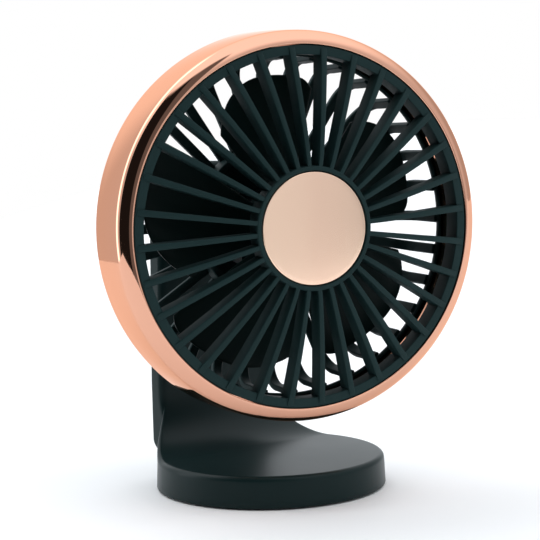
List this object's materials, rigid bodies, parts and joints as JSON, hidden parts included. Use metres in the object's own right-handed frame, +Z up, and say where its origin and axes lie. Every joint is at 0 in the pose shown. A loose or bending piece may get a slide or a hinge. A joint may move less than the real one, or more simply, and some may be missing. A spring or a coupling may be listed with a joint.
{
  "type": "desk fan",
  "caption": "Small desk fan: round plated head with radial spoke grilles, on a two-axis knuckle held by an upright neck that curves into a weighted round base.",
  "frame": {"origin": "centre of the round foot pad's underside, on the table", "axes": "+Z up; -Y is the front of the stand, which the neck stands behind; +X is the right-hand side seen from the front"},
  "size_m": [0.1441, 0.1078, 0.1774],
  "materials": {
    "green_plastic": "satin moulded plastic, very dark blue-green",
    "dark_green_plastic": "smooth glossy near-black green plastic",
    "rose_gold_plate": "mirror-bright rose-gold plating on plastic",
    "rose_gold_satin": "satin rose-gold anodised disc with a faint vertical grain",
    "rubber": "matt black rubber",
    "steel": "zinc-plated steel",
    "brass": "sintered bearing bronze",
    "copper_winding": "enamelled copper winding",
    "ferrite": "dark moulded magnet",
    "battery_wrap": "pouch cell foil",
    "circuit_board": "solder mask",
    "light_lens": "milky light guide"
  },
  "bodies": {
    "stand": {"ballast_plate": "steel", "base_plate": "green_plastic", "base_screw_1": "steel", "base_screw_2": "steel", "base_screw_3": "steel", "base_screw_4": "steel", "battery_pack": "battery_wrap", "bracket_screw_1": "steel", "bracket_screw_2": "steel", "bracket_screw_3": "steel", "bracket_screw_4": "steel", "control_board": "circuit_board", "cover_screw_1": "steel", "cover_screw_2": "steel", "foot_pad": "rubber", "neck_back_cover": "green_plastic", "neck_bracket": "green_plastic", "stand_shell": "green_plastic", "status_light": "light_lens", "switch_board": "circuit_board", "swivel_pin_lower": "steel", "swivel_pin_upper": "steel", "tact_switch": "steel", "usb_socket": "steel"},
    "knuckle": {"knuckle_block": "dark_green_plastic", "swivel_washer_lower": "rubber", "swivel_washer_upper": "rubber"},
    "head": {"bezel_ring": "rose_gold_plate", "centre_badge": "rose_gold_satin", "front_bush": "brass", "front_grille": "green_plastic", "grille_screw_1": "steel", "grille_screw_2": "steel", "grille_screw_3": "steel", "grille_screw_4": "steel", "motor_can": "steel", "motor_end_bell": "steel", "motor_screw_1": "steel", "motor_screw_2": "steel", "rear_bush": "brass", "rear_grille": "green_plastic", "stator_core": "copper_winding", "tail_fork": "green_plastic", "tail_screw_1": "steel", "tail_screw_2": "steel", "tail_screw_3": "steel", "tail_screw_4": "steel", "tilt_bolt": "steel", "tilt_nut": "steel", "tilt_washer_left": "rubber", "tilt_washer_right": "rubber"},
    "rotor": {"impeller": "dark_green_plastic", "impeller_nut": "steel", "motor_shaft": "steel", "rotor_magnet": "ferrite"},
    "button": {"power_button": "rose_gold_plate"}
  },
  "joints": [
    {"name": "head_swivel", "type": "hinge", "parent": "stand", "child": "knuckle", "pos_m": [0, 0.018, 0.1046], "axis": [0, 0, 1], "range_deg": [-31, 59]},
    {"name": "head_tilt", "type": "hinge", "parent": "knuckle", "child": "head", "pos_m": [0, 0.018, 0.1046], "axis": [0.9703, -0.2419, 0], "range_deg": [-35, 15]},
    {"name": "fan_spin", "type": "hinge", "parent": "head", "child": "rotor", "pos_m": [0, 0.018, 0.1046], "axis": [0.2419, 0.9703, 0], "continuous": true},
    {"name": "power_press", "type": "slide", "parent": "stand", "child": "button", "axis": [0, -1, 0], "range_m": [0, 0.0004], "stiffness_N_per_m": 400, "springref_m": -0.0005}
  ]
}
